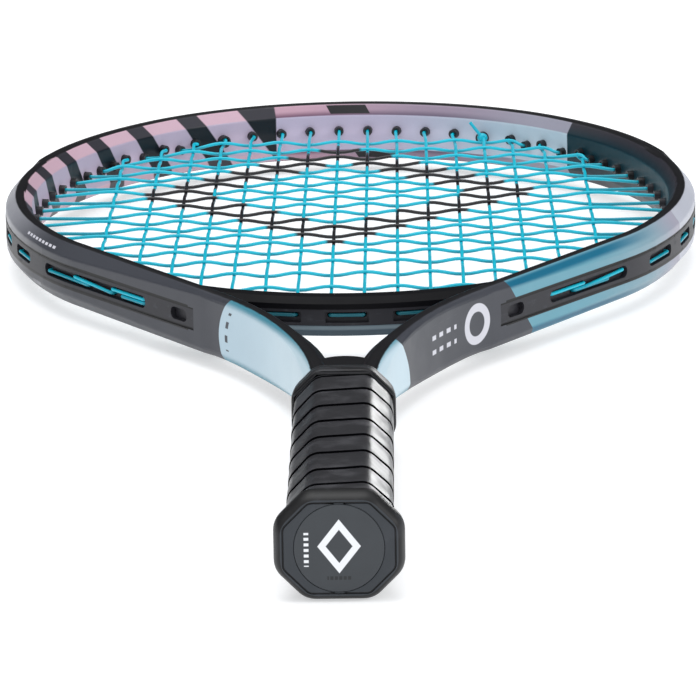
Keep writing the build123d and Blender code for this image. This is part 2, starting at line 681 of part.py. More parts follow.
def string_through(passes, z, first_tie, last_tie):
    """One whole string: passes across the bed, with a loop outside between each two.

    Each pass is (hole it enters by, woven corners, hole it leaves by).
    """
    points = list(first_tie)
    for hole_in, nodes, hole_out in passes:
        points += [outside(hole_in, z), mouth(hole_in, z)]
        points += nodes
        points += [mouth(hole_out, z), outside(hole_out, z)]
    points += reversed(last_tie)
    holes = [h for p in passes for h in (p[0], p[2])]
    caps = {}
    for k, point in enumerate(points):
        if point in [outside(h, z) for h in holes] or point in (first_tie[2], last_tie[2]):
            caps[k] = EXIT_BEND
        elif point in [mouth(h, z) for h in holes] or point in (first_tie[1], last_tie[1]):
            caps[k] = TIP_BEND
    string_along(points, caps)


with BuildPart() as main_string:
    main_passes = []
    for i in range(len(MAINS)):
        bottom, top = main_hole(i, "bottom"), main_hole(i, "top")
        upward = (bottom, main_nodes(i), top)
        main_passes.append(upward if i % 2 == 0 else (top, main_nodes(i)[::-1], bottom))
    string_through(main_passes, LAYER, tie_off(1, "bottom"), tie_off(LAST_MAIN - 1, "bottom"))
main_string.part.label = "main_string"
export_step(main_string.part, "parts/main_string.step")

with BuildPart() as cross_string:
    cross_passes = []
    for j in range(len(CROSS_Y)):
        left, right = cross_hole(j, -1), cross_hole(j, 1)
        leftward = (right, cross_nodes(j)[::-1], left)
        cross_passes.append(leftward if j % 2 == 0 else (left, cross_nodes(j), right))
    over_guard = [outside(main_hole(LAST_MAIN - 2, "top"), -LAYER)]
    string_through(cross_passes, -LAYER, tie_off(LAST_MAIN - 3, "top") + over_guard,
                   tie_off(2, "bottom"))
cross_string.part.label = "cross_string"
export_step(cross_string.part, "parts/cross_string.step")


def knot(i, end, tail_direction):
    middle, direction = knot_place(i, end)
    place = racket.from_local_coords(middle)
    with BuildPart(mode=Mode.PRIVATE) as bead:
        with BuildSketch(Plane(origin=place, z_dir=direction)):
            Circle(KNOT_RADIUS)
        extrude(amount=KNOT_LENGTH / 2, both=True)
        fillet(bead.edges().filter_by(GeomType.CIRCLE), KNOT_EDGE)
        side = Vector(*tail_direction).normalized()
        with BuildSketch(Plane(origin=place + side * (KNOT_RADIUS - TAIL_ROOT), z_dir=side)):
            Circle(STRING / 2)
        extrude(amount=TAIL)
    add(bead.part)


with BuildPart() as main_knots:
    knot(1, "bottom", (0.6, 0.5, -0.6))
    knot(LAST_MAIN - 1, "bottom", (-0.6, 0.5, -0.6))
    add(main_string.part, mode=Mode.SUBTRACT)
main_knots.part.label = "main_string_knots"
export_step(main_knots.part, "parts/main_string_knots.step")

with BuildPart() as cross_knots:
    knot(LAST_MAIN - 3, "top", (-0.6, -0.1, 0.8))
    knot(2, "bottom", (0.7, 0.3, -0.6))
    add(main_string.part, mode=Mode.SUBTRACT)
    add(cross_string.part, mode=Mode.SUBTRACT)
cross_knots.part.label = "cross_string_knots"
export_step(cross_knots.part, "parts/cross_string_knots.step")


# ---------------------------------------------------------------------------
# Handle
# ---------------------------------------------------------------------------
def octagon_face(y, size):
    with BuildSketch(across(y)) as face:
        Polygon(*octagon(*size), align=None)
    return face.sketch


def prism(start, end, size, mode=Mode.ADD):
    extrude(octagon_face(start, size), amount=start - end, mode=mode)


def stack(stations, mode=Mode.ADD):
    """Octagonal frustums through a list of (y, octagon) stations."""
    loft([octagon_face(y, size) for y, size in stations], ruled=True, mode=mode)


SKIRT = grown(PALLET, SKIRT_WALL)

with BuildPart() as staples:
    for side in (1, -1):
        top = SKIRT[1] / 2 - STAPLE_WIRE / 2
        half = STAPLE_CROWN / 2
        points = [(-half, STAPLE_Y, side * (top - STAPLE_LEG)), (-half, STAPLE_Y, side * top),
                  (half, STAPLE_Y, side * top), (half, STAPLE_Y, side * (top - STAPLE_LEG))]
        with BuildLine(racket) as wire:
            FilletPolyline(*points, radius=STAPLE_WIRE)
        with BuildSketch(Plane(origin=wire.line @ 0, z_dir=wire.line % 0)) as face:
            Circle(STAPLE_WIRE / 2)
        sweep(face.sketch, wire.line)
staples.part.label = "butt_cap_staples"
export_step(staples.part, "parts/butt_cap_staples.step")

for name, keep in (("pallet_upper", Keep.TOP), ("pallet_lower", Keep.BOTTOM)):
    with BuildPart() as pallet:
        prism(PALLET_START, PALLET_END, PALLET)
        add(tube_shape.part, mode=Mode.SUBTRACT)
        add(staples.part, mode=Mode.SUBTRACT)
        split(bisect_by=Plane.XY.offset(STRING_HEIGHT), keep=keep)
    pallet.part.label = name
    export_step(pallet.part, f"parts/{name}.step")

with BuildPart() as butt_cap:
    stack(CAP_RIM)
    prism(CAP_RIM[-1][0], SKIRT_END, SKIRT)
    prism(PALLET_START, SKIRT_END, PALLET, Mode.SUBTRACT)
    with BuildSketch(across(0)) as plug_seat:
        Circle(PLUG_RADIUS)
    extrude(plug_seat.sketch, amount=-PLUG_THICKNESS, mode=Mode.SUBTRACT)
    with BuildSketch(across(0)) as door:
        Circle(CAP_DOOR_RADIUS)
    extrude(door.sketch, amount=-PALLET_START, mode=Mode.SUBTRACT)
    add(staples.part, mode=Mode.SUBTRACT)
butt_cap.part.label = "butt_cap"
export_step(butt_cap.part, "parts/butt_cap.step")

with BuildPart() as plug:
    extrude(plug_seat.sketch, amount=-PLUG_THICKNESS)
    fillet(plug.faces().sort_by(Axis.Y)[0].edges(), PLUG_EDGE)
plug.part.label = "butt_cap_plug"
export_step(plug.part, "parts/butt_cap_plug.step")

with BuildPart() as grip:
    stack(GRIP_FLARE)
    prism(GRIP_FLARE[-1][0], GRIP_END, GRIP)
    prism(GRIP_FLARE[0][0], SKIRT_END, SKIRT, Mode.SUBTRACT)
    prism(SKIRT_END, GRIP_END, PALLET, Mode.SUBTRACT)
grip.part.label = "grip_tape"
export_step(grip.part, "parts/grip_tape.step")

with BuildPart() as finishing_tape:
    prism(FINISH_TAPE_START, FINISH_TAPE_END, grown(GRIP, FINISH_TAPE_THICKNESS))
    prism(FINISH_TAPE_START, FINISH_TAPE_END, GRIP, Mode.SUBTRACT)
finishing_tape.part.label = "finishing_tape"
export_step(finishing_tape.part, "parts/finishing_tape.step")

with BuildPart() as collar:
    stack(COLLAR)
    prism(COLLAR[0][0], FINISH_TAPE_END, grown(GRIP, FINISH_TAPE_THICKNESS), Mode.SUBTRACT)
    prism(COLLAR[0][0], GRIP_END, GRIP, Mode.SUBTRACT)
    prism(COLLAR[0][0], PALLET_END, PALLET, Mode.SUBTRACT)
    add(tube_shape.part, mode=Mode.SUBTRACT)
collar.part.label = "grip_collar"
export_step(collar.part, "parts/grip_collar.step")
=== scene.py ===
"""A 25 inch junior tennis racket lying on a pale floor, dressed round its CAD frame."""

from math import cos, pi, radians, sin

import bmesh
import bpy
from mathutils import Matrix, Vector, noise


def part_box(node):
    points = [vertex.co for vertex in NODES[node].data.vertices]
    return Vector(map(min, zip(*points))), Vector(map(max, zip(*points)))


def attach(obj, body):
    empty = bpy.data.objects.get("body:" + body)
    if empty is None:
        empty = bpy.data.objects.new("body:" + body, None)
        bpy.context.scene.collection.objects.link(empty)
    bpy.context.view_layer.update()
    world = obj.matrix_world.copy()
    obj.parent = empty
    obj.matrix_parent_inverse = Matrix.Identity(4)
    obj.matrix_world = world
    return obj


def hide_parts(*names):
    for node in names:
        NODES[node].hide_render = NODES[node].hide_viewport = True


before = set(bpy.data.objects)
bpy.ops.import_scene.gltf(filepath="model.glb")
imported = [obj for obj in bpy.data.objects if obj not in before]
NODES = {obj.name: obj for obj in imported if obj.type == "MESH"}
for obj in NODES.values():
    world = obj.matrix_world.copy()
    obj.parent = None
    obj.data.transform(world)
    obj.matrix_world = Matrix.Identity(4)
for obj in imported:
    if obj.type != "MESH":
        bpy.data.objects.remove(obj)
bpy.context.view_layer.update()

# ---------------------------------------------------------------------------
# Sizes. Racket coordinates are millimetres: x to the right, y up the racket
# from its butt face, z up from the string plane.
# ---------------------------------------------------------------------------
MM = 0.001
BUTT_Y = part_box("butt_cap")[0].y
STRING_Z = (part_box("butt_cap")[0].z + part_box("butt_cap")[1].z) / 2

PALLET = (28.6, 24.0, 6.6)          # octagons: width, height, corner
SKIRT = (31.0, 26.4, 7.3)
GRIP = (31.8, 27.0, 7.3)
# The grip's own octagon, flared at the butt: (place, octagon)
GRIP_SIZES = [(8.6, (36.6, 31.2, 8.6)), (12.0, (34.9, 29.8, 8.2)), (18.0, (33.3, 28.4, 7.8)),
              (26.0, (32.3, 27.5, 7.5)), (36.0, GRIP), (166.0, GRIP)]
GRIP_START, GRIP_END = 8.65, 165.9
TAPE_PITCH = 19.4
# One turn of tape: (share of the pitch, how far it stands out)
TAPE_LAP = [(0.0, -0.85), (0.006, -0.5), (0.014, -0.02), (0.03, 0.13), (0.05, 0.18), (0.1, 0.2), (0.3, 0.18),
            (0.55, 0.1), (0.8, 0.02), (0.95, -0.04), (0.98, -0.12), (0.991, -0.5)]
SEAM_EDGES = (0.05, 0.95)           # a turn's shares before and after these are in the seam
TAPE_RIPPLE, RIPPLE_SCALE = 0.16, (0.11, 0.13)
PULLED_FLAT_FROM, FLATTENS_BY = 153.0, 0.08     # the finishing tape holds the top turn down
LAP_TOP, LAP_BURIED = 0.2, -0.12
TAPE_ROUNDING = 2.4
SKIRT_TOP, PLUG_RADIUS = 24.0, 13.4

# ---------------------------------------------------------------------------
# Camera: the photograph's viewing angle, low over the butt end
# ---------------------------------------------------------------------------
LENS, SENSOR = 274.5, 36.0
CAMERA_AT = (0.02079, -1.82637, 0.44155)
YAW, PITCH, ROLL = radians(-0.633), radians(13.605), radians(0.905)


def make_camera():
    data = bpy.data.cameras.new("camera")
    data.lens, data.sensor_width = LENS, SENSOR
    data.clip_start, data.clip_end = 0.05, 50
    camera = bpy.data.objects.new("camera", data)
    bpy.context.scene.collection.objects.link(camera)
    ahead = Vector((sin(YAW) * cos(PITCH), cos(YAW) * cos(PITCH), -sin(PITCH)))
    level = Vector((cos(YAW), -sin(YAW), 0))
    down = -level.cross(ahead)
    right = cos(ROLL) * level + sin(ROLL) * down
    up = sin(ROLL) * level - cos(ROLL) * down
    turn = Matrix((right, up, -ahead)).transposed()
    camera.matrix_world = Matrix.Translation(CAMERA_AT) @ turn.to_4x4()
    bpy.context.scene.camera = camera


# ---------------------------------------------------------------------------
# Materials
# ---------------------------------------------------------------------------
def rgb(red, green, blue):
    """A display colour of 0 to 255 as the linear colour a shader takes."""
    return tuple(((c / 255 + 0.055) / 1.055) ** 2.4 if c > 10 else c / 3295
                 for c in (red, green, blue)) + (1.0,)


class Paint:
    """A principled material, with short calls for the masks and mixes of its colour."""

    def __init__(self, name, **values):
        self.material = bpy.data.materials.new(name)
        self.material.use_nodes = True
        self.tree = self.material.node_tree
        self.surface = self.tree.nodes["Principled BSDF"]
        for socket, value in values.items():
            self.surface.inputs[socket.replace("_", " ")].default_value = value
        place = self.add("ShaderNodeTexCoord").outputs["Object"]
        scaled = self.add("ShaderNodeVectorMath", operation="MULTIPLY_ADD")
        self.feed(scaled.inputs[0], place)
        scaled.inputs[1].default_value = (1 / MM, 1 / MM, 1 / MM)
        scaled.inputs[2].default_value = (0, -BUTT_Y / MM, -STRING_Z / MM)
        self.place = scaled.outputs[0]
        apart = self.add("ShaderNodeSeparateXYZ")
        self.feed(apart.inputs[0], self.place)
        self.x, self.y, self.z = apart.outputs
        self.right = self.calc("ABSOLUTE", self.x)

    def add(self, kind, **settings):
        node = self.tree.nodes.new(kind)
        for setting, value in settings.items():
            setattr(node, setting, value)
        return node

    def feed(self, socket, value):
        if isinstance(value, bpy.types.NodeSocket):
            self.tree.links.new(value, socket)
        else:
            socket.default_value = value

    def calc(self, operation, *values):
        node = self.add("ShaderNodeMath", operation=operation)
        for socket, value in zip(node.inputs, values):
            self.feed(socket, value)
        return node.outputs[0]

    def total(self, *terms):
        result = terms[0]
        for term in terms[1:]:
            result = self.calc("ADD", result, term)
        return result

    def both(self, *masks):
        """The product; of masks, where all of them hold."""
        result = masks[0]
        for mask in masks[1:]:
            result = self.calc("MULTIPLY", result, mask)
        return result

    def length(self, a, b):
        return self.calc("SQRT", self.total(self.both(a, a), self.both(b, b)))

    def leaning(self, value, slope):
        """A value that grows with height, for a slanted edge."""
        return self.total(value, self.both(self.z, slope))

    def diamond(self, a, b, centre, reach):
        """0 in the middle of a diamond, 1 along its edge."""
        from_a = self.calc("ABSOLUTE", self.calc("SUBTRACT", a, centre[0]))
        from_b = self.calc("ABSOLUTE", self.calc("SUBTRACT", b, centre[1]))
        return self.total(self.calc("DIVIDE", from_a, reach[0]), self.calc("DIVIDE", from_b, reach[1]))

    def phase(self, value, pitch):
        """0 to 1 over each pitch."""
        return self.calc("FRACT", self.calc("DIVIDE", value, pitch))

    def either(self, *masks):
        result = masks[0]
        for mask in masks[1:]:
            result = self.calc("MAXIMUM", result, mask)
        return result

    def ramp(self, value, low, high):
        """0 below low, 1 above high, smooth between; falls when low is the larger."""
        node = self.add("ShaderNodeMapRange", interpolation_type="SMOOTHSTEP")
        falls = low > high
        self.feed(node.inputs["Value"], value)
        node.inputs["From Min"].default_value = min(low, high)
        node.inputs["From Max"].default_value = max(low, high)
        node.inputs["To Min"].default_value = 1.0 if falls else 0.0
        node.inputs["To Max"].default_value = 0.0 if falls else 1.0
        return node.outputs["Result"]

    def above(self, value, edge, soft=0.12):
        return self.ramp(value, edge - soft, edge + soft)

    def below(self, value, edge, soft=0.12):
        return self.ramp(value, edge + soft, edge - soft)

    def within(self, value, low, high, soft=0.12):
        return self.both(self.above(value, low, soft), self.below(value, high, soft))

    def mix(self, mask, first, second):
        node = self.add("ShaderNodeMix", data_type="RGBA")
        self.feed(node.inputs["Factor"], mask)
        self.feed(node.inputs[6], first)
        self.feed(node.inputs[7], second)
        return node.outputs[2]

    def grain(self, size, detail=3.0, stretch=(1, 1, 1)):
        """Noise with features of a size in millimetres, from 0 to 1."""
        scaled = self.add("ShaderNodeVectorMath", operation="MULTIPLY")
        self.feed(scaled.inputs[0], self.place)
        scaled.inputs[1].default_value = tuple(s / size for s in stretch)
        node = self.add("ShaderNodeTexNoise")
        self.feed(node.inputs["Vector"], scaled.outputs[0])
        node.inputs["Scale"].default_value = 1.0
        node.inputs["Detail"].default_value = detail
        return node.outputs["Fac"]

    def bump(self, height, strength, distance):
        node = self.add("ShaderNodeBump")
        node.inputs["Strength"].default_value = strength
        node.inputs["Distance"].default_value = distance * MM
        self.feed(node.inputs["Height"], height)
        self.feed(self.surface.inputs["Normal"], node.outputs[0])

    def colour(self, value):
        self.feed(self.surface.inputs["Base Color"], value)

    def roughness(self, mask, first, second):
        """Roughness from first to second along a mask."""
        spread = self.calc("MULTIPLY_ADD", mask, second - first, first)
        self.feed(self.surface.inputs["Roughness"], spread)


CHARCOAL, CREST = rgb(58, 60, 67), rgb(14, 14, 18)
ICE, PALE_TEAL, DEEP_TEAL = rgb(172, 194, 206), rgb(66, 128, 146), rgb(6, 92, 120)
LILAC, PINK, SILVER = rgb(176, 162, 182), rgb(192, 160, 174), rgb(144, 142, 156)
WHITE_INK, BLACK_INK = rgb(196, 196, 204), rgb(22, 22, 26)

# Layout of the frame's paint. Turns are degrees round the middle of the bed,
# from the head, positive on the right; the rest is millimetres.
BED_CENTRE, STRIP_END = 505.0, 299.0
ALONG_X, ALONG_Y = 0.574, 0.819     # direction of the arms, towards the head
LEFT_CUFF = (256.0, 0.2, 0.04)      # where a colour ends up the arm: place, slant, bow
RIGHT_CUFF = (199.0, 0.55, 0.035)
TEAL_FOOT = (286.0, 0.8, 0.0)
BLOCK_STARTS = range(-112, -20, 14)     # equal blocks, so that they follow no lettering
BLOCK_WIDTH, BLOCK_SLANT = 9, 0.35
HEAD_PANEL, LABEL, LABEL_HEIGHTS, LABEL_SLANT = (-15.3, 49.0), (-4.5, 11.5), (7.7, 10.9), 0.6
TEAL_WALL, SIDE_PANEL = (44, 128), 128.0
SILVER_SIDE, SILVER_FADE, FADE_SLANT = (66, 128), (-136, -112), 0.5
GAP_SHADOW_HEIGHTS = (3.9, 4.55)              # painted shadow: a black line in the gap beside the grommet strips
RING_PLACE, RING_STRETCH, RING_RADII = 257.5, 0.85, (4.3, 7.2)
BARS, BAR_PITCH, ROW_PITCH = (222, 243), 6.0, 5.0
CUFF_DASHES = (-6.4, -4.4)          # back from the left cuff's edge
FINE_DASHES, FINE_HEIGHTS, DASH_PITCH = (-141, -131), (8.1, 8.9), 1 / 0.9
GREY_BLOCK, GREY_HEIGHTS, GREY_SLANT = (-139.4, -136.6), (-9.0, -6.6), 0.4
THROAT_END = 345.0
# The stencil on the strings
DIAMOND_CENTRE, DIAMOND_REACH = (-5.0, 503.0), (80.0, 92.0)


def frame_paint():
    s = Paint("frame_paint", Roughness=0.4, Coat_Weight=0.12, Coat_Roughness=0.22,
              Specular_IOR_Level=0.22)
    normal = s.add("ShaderNodeNewGeometry").outputs["Normal"]
    faces = s.add("ShaderNodeSeparateXYZ")
    s.feed(faces.inputs[0], normal)
    nx, ny, nz = faces.outputs
    ahead = s.calc("SUBTRACT", s.y, BED_CENTRE)
    turn = s.both(s.calc("ARCTAN2", s.x, ahead), 180 / pi)
    outward = s.calc("DIVIDE", s.total(s.both(nx, s.x), s.both(ny, ahead)), s.length(s.x, ahead))
    outer, inner, wall = s.above(outward, 0.0), s.below(outward, -0.15, 0.1), s.below(outward, -0.92, 0.05)
    arm = s.total(s.both(s.right, ALONG_X), s.both(s.y, ALONG_Y))
    high = s.calc("ABSOLUTE", s.z)
    rightward, leftward = s.above(s.x, 0.0), s.below(s.x, 0.0)

    def past(edge):
        """How far up the arm a spot lies beyond a slanted, bowed edge."""
        where, slant, bow = edge
        return s.total(arm, s.calc("MULTIPLY_ADD", s.z, slant, s.both(s.z, s.z, bow)), -where)

    # Charcoal all round, slightly green on the wall that faces the strings
    base = s.mix(inner, CHARCOAL, s.mix(wall, rgb(48, 47, 54), rgb(8, 17, 25)))
    teal_wall = s.both(inner, s.within(turn, *TEAL_WALL, 6.0), s.below(high, 8.5, 2.5))
    base = s.mix(teal_wall, base, rgb(2, 40, 50))

    # Left shoulder: equal slanted pink blocks on the inner bevel and wall
    slant = s.leaning(turn, BLOCK_SLANT)
    blocks = s.either(*[s.within(slant, low, low + BLOCK_WIDTH, 0.2) for low in BLOCK_STARTS])
    base = s.mix(s.both(blocks, inner), base, s.mix(wall, PINK, LILAC))

    # Head: pink to silver, with a plain black label in the middle
    head = s.within(turn, *HEAD_PANEL, 0.15)
    upper = s.mix(s.ramp(turn, -14, 16), rgb(176, 140, 156), rgb(136, 120, 138))
    lower = s.mix(s.ramp(turn, -14, 16), rgb(100, 68, 90), rgb(90, 78, 98))
    fade = s.mix(s.ramp(high, 7.0, 9.6), lower, upper)
    fade = s.mix(s.ramp(turn, 14, 42), fade, SILVER)
    fade = s.mix(wall, fade, s.mix(s.ramp(turn, 0, 40), rgb(178, 168, 190), rgb(180, 196, 208)))
    base = s.mix(head, base, fade)
    label = s.both(s.within(s.leaning(s.x, LABEL_SLANT), *LABEL), s.within(high, *LABEL_HEIGHTS), inner,
                   s.above(s.y, BED_CENTRE))
    base = s.mix(label, base, BLACK_INK)

    # Right shoulder: silver running into teal, down to the arm
    side = s.both(rightward, s.above(turn, SIDE_PANEL, 0.15), s.above(past(TEAL_FOOT), 0))
    sweep = s.mix(s.ramp(turn, 128, 140), rgb(150, 148, 162), rgb(124, 150, 162))
    sweep = s.mix(s.ramp(turn, 136, 156), sweep, rgb(96, 148, 164))
    ribbon = s.both(s.ramp(high, 7.4, 9.2), s.ramp(high, 11.4, 10.2), s.ramp(turn, 133, 150))
    sweep = s.mix(ribbon, sweep, DEEP_TEAL)
    base = s.mix(side, base, sweep)

    # Outer faces at the widest part: silver, fading into the charcoal on the left
    base = s.mix(s.both(rightward, outer, s.within(turn, *SILVER_SIDE)), base, rgb(172, 175, 186))
    fading = s.ramp(s.leaning(turn, FADE_SLANT), *SILVER_FADE)
    base = s.mix(s.both(leftward, outer, fading), base, rgb(140, 141, 148))
    # Painted shadow: a black line on the outer faces, in the gap beside the grommet strips
    frame_gap_shadow = s.both(outer, s.within(high, *GAP_SHADOW_HEIGHTS), s.above(s.y, STRIP_END - 0.6))
    base = s.mix(frame_gap_shadow, base, rgb(7, 7, 9))

    # Arms: ice blue below each cuff, teal close to the crest
    cuff = s.either(s.both(leftward, s.below(past(LEFT_CUFF), 0)),
                    s.both(rightward, s.below(past(RIGHT_CUFF), 0)))
    crest_near = s.ramp(s.total(high, s.both(arm, -0.006)), 6.6, 9.4)
    ice = s.mix(crest_near, ICE, PALE_TEAL)
    ice = s.mix(s.ramp(arm, 236, 196), ice, s.mix(crest_near, rgb(186, 206, 216), PALE_TEAL))
    base = s.mix(cuff, base, ice)

    # Plain marks: a ring and bars on the right arm, dashes on the left
    from_ring = s.length(s.both(s.calc("SUBTRACT", arm, RING_PLACE), RING_STRETCH), s.z)
    ring_mark = s.both(rightward, outer, s.within(from_ring, *RING_RADII, 0.15))
    cells, rows = s.phase(arm, BAR_PITCH), s.phase(s.z, ROW_PITCH)
    bars = s.both(rightward, outer, s.within(arm, *BARS), s.below(high, 6.4),
                  s.within(cells, 0.2, 0.72, 0.03), s.within(rows, 0.3, 0.62, 0.03))
    cuff_dashes = s.both(leftward, outer, s.within(past(LEFT_CUFF), *CUFF_DASHES), s.below(high, 7.0),
                         s.within(rows, 0.2, 0.7, 0.03))
    fine_dashes = s.both(s.within(turn, *FINE_DASHES, 0.1), s.within(s.z, *FINE_HEIGHTS, 0.08), outer,
                         s.above(s.phase(turn, DASH_PITCH), 0.35, 0.05))
    grey_block = s.both(s.within(s.leaning(turn, GREY_SLANT), *GREY_BLOCK, 0.1),
                        s.within(s.z, *GREY_HEIGHTS), outer)
    base = s.mix(s.either(ring_mark, bars, fine_dashes), base, WHITE_INK)
    base = s.mix(grey_block, base, rgb(112, 113, 120))
    base = s.mix(cuff_dashes, base, rgb(58, 64, 72))

    # Crest and the faces inside the throat
    faces_in = s.below(s.both(s.calc("SIGN", s.x), nx), -0.05, 0.1)
    throat = s.both(s.below(s.y, THROAT_END, 4), faces_in)
    crest = s.above(s.calc("ABSOLUTE", nz), 0.82, 0.06)
    base = s.mix(s.either(throat, crest), base, CREST)

    # A fine flake and a slow mottle in the lacquer
    mottle = s.calc("MULTIPLY_ADD", s.grain(14.0, 3.0), 0.08, 0.91)
    shade = s.calc("MULTIPLY_ADD", s.grain(0.35, 2.0), 0.10, mottle)
    toned = s.add("ShaderNodeVectorMath", operation="SCALE")
    s.feed(toned.inputs[0], base)
    s.feed(toned.inputs["Scale"], shade)
    s.colour(toned.outputs[0])
    s.roughness(s.grain(9.0, 4.0), 0.32, 0.5)
    s.bump(s.total(s.grain(0.5, 2.0), s.both(s.grain(26.0, 2.0), 2.0)), 0.08, 0.04)
    return s.material


def bridge_paint():
    s = Paint("bridge_paint", Roughness=0.5, Specular_IOR_Level=0.12)
    low = s.below(s.z, -2.6, 0.25)
    base = s.mix(low, rgb(4, 4, 8), rgb(62, 76, 86))
    edge = s.within(s.z, -4.4, -3.0, 0.5)
    s.colour(s.mix(s.both(edge, low), base, rgb(110, 124, 132)))
    s.roughness(s.grain(7.0, 4.0), 0.4, 0.6)
    s.bump(s.total(s.grain(0.6), s.both(s.grain(20.0, 2.0, (1, 1, 0.3)), 3.0)), 0.2, 0.05)
    return s.material


def nylon(name, colour, worn, roughness, shine=0.5, paints_gap_shadow=False):
    """Moulded nylon: a fine spark-eroded grain, with scuffs on it. With the last argument set, it gets
    painted
    shadow: black where a grommet strip meets the frame, along its edges and at its lower end."""
    s = Paint(name, Roughness=roughness, Specular_IOR_Level=shine)
    scuffs = s.ramp(s.grain(5.0, 5.0, (1, 1, 2.5)), 0.55, 0.75)
    plain = s.mix(s.both(scuffs, s.grain(0.8)), colour, worn)
    if paints_gap_shadow:
        # Painted shadow: black along the strip's edges and at its lower end, in the gap where it meets the
        # frame
        end_gap_shadow = s.both(s.below(s.y, STRIP_END + 0.9), s.above(s.right, 60))
        strip_gap_shadow = s.either(s.above(s.calc("ABSOLUTE", s.z), 3.3), end_gap_shadow)
        plain = s.mix(strip_gap_shadow, plain, rgb(6, 6, 8))
    s.colour(plain)
    s.roughness(scuffs, roughness, roughness + 0.15)
    s.bump(s.grain(0.28, 2.0), 0.35, 0.04)
    return s.material


def string_material(name, stencilled):
    """Glossy co-polyester, with a plain hollow diamond stencilled over the middle of the bed."""
    s = Paint(name, Roughness=0.3, Coat_Weight=0.1, Coat_Roughness=0.15, Specular_IOR_Level=0.35)
    tone = s.mix(s.grain(18.0, 2.0), rgb(0, 166, 190), rgb(0, 180, 202))
    # Painted shade: the strings darker where they dip below the string plane
    tone = s.mix(s.ramp(s.z, 0.2, -0.9), tone, rgb(0, 132, 152))
    if stencilled:
        reach = s.total(s.diamond(s.x, s.y, DIAMOND_CENTRE, DIAMOND_REACH),
                        s.calc("MULTIPLY_ADD", s.grain(4.0), 0.03, -0.015))
        inked = s.both(s.within(reach, 0.66, 1.0, 0.012), s.below(s.right, 100))
        tone = s.mix(inked, tone, BLACK_INK)
    # Painted shade: the strings darker where they run down into the bridge's slots
    bridge_shade = s.both(s.below(s.y, 316, 3), s.below(s.right, 62, 4))
    s.colour(s.mix(bridge_shade, tone, rgb(0, 92, 106)))
    s.roughness(s.grain(1.5, 3.0), 0.26, 0.42)
    s.bump(s.grain(0.4, 2.0), 0.15, 0.02)
    return s.material


def grip_material():
    """Black overgrip: satin polyurethane with a fine grain and pressed-in creases."""
    s = Paint("grip", Roughness=0.42, Coat_Weight=0.12, Coat_Roughness=0.3)
    rubbed = s.ramp(s.grain(11.0, 4.0), 0.45, 0.7)
    s.colour(s.mix(rubbed, rgb(35, 35, 39), rgb(48, 48, 53)))
    s.roughness(rubbed, 0.36, 0.52)
    creases, pores = s.grain(7.0, 4.0, (0.6, 2.6, 0.6)), s.grain(0.5, 2.0)
    s.bump(s.total(s.both(creases, 5.0), pores), 0.35, 0.06)
    return s.material


def seam_shadow():
    """The overgrip's edges down in the seams, in painted shadow: near black and without specular reflection.
    """
    s = Paint("seam_shadow", Roughness=0.8, Specular_IOR_Level=0.0)
    s.colour(s.mix(s.grain(1.0), rgb(2, 2, 3), rgb(5, 5, 7)))
    return s.material


def rubber(name, colour, face_colour, roughness):
    """Black rubber with a little dust on it, and a lighter end face on the butt cap."""
    s = Paint(name, Roughness=roughness, Specular_IOR_Level=0.3)
    dust = s.ramp(s.grain(8.0, 5.0), 0.5, 0.8)
    base = s.mix(s.below(s.y, 0.2, 0.1), colour, face_colour)
    s.colour(s.mix(s.both(dust, 0.35), base, rgb(74, 76, 82)))
    s.roughness(dust, roughness, roughness + 0.12)
    s.bump(s.grain(0.35, 3.0), 0.3, 0.04)
    return s.material


def plug_material():
    """The butt plug: dark satin plastic, printed with a plain white diamond and tick marks."""
    s = Paint("plug_plastic", Roughness=0.45)
    mark = s.within(s.diamond(s.x, s.z, (0.0, 0.6), (6.4, 8.2)), 0.62, 1.0, 0.02)
    rungs = s.phase(s.total(s.z, 20.0), 1.7)
    ticks = s.both(s.within(s.x, -10.4, -9.0), s.within(s.z, -5.5, 4.8), s.within(rungs, 0.2, 0.72, 0.06))
    stamps = s.both(s.within(s.z, -9.6, -8.5), s.within(s.x, -3.6, 3.6),
                    s.above(s.phase(s.total(s.x, 20.0), 1.3), 0.3, 0.05))
    base = s.mix(s.grain(6.0, 4.0), rgb(44, 48, 53), rgb(52, 57, 62))
    base = s.mix(stamps, base, rgb(24, 26, 29))
    face = s.below(s.y, 0.4, 0.1)
    s.colour(s.mix(s.both(s.either(mark, ticks), face), base, rgb(232, 234, 238)))
    s.roughness(s.grain(3.0, 4.0), 0.4, 0.55)
    s.bump(s.grain(0.4, 2.0), 0.2, 0.03)
    return s.material


def steel():
    s = Paint("staple_steel", Metallic=1.0, Roughness=0.35)
    s.colour(s.mix(s.grain(1.2, 3.0), rgb(150, 152, 156), rgb(190, 192, 196)))
    s.roughness(s.grain(0.6), 0.28, 0.45)
    return s.material


def foam():
    s = Paint("pallet_foam", Roughness=0.85)
    cells = s.grain(1.2, 5.0)
    s.colour(s.mix(cells, rgb(172, 168, 158), rgb(206, 202, 190)))
    s.roughness(cells, 0.75, 0.95)
    s.bump(cells, 0.6, 0.2)
    return s.material


# ---------------------------------------------------------------------------
# Mesh pieces for the handle
# ---------------------------------------------------------------------------
CORNER_STEPS, FACE_STEPS = 6, 5


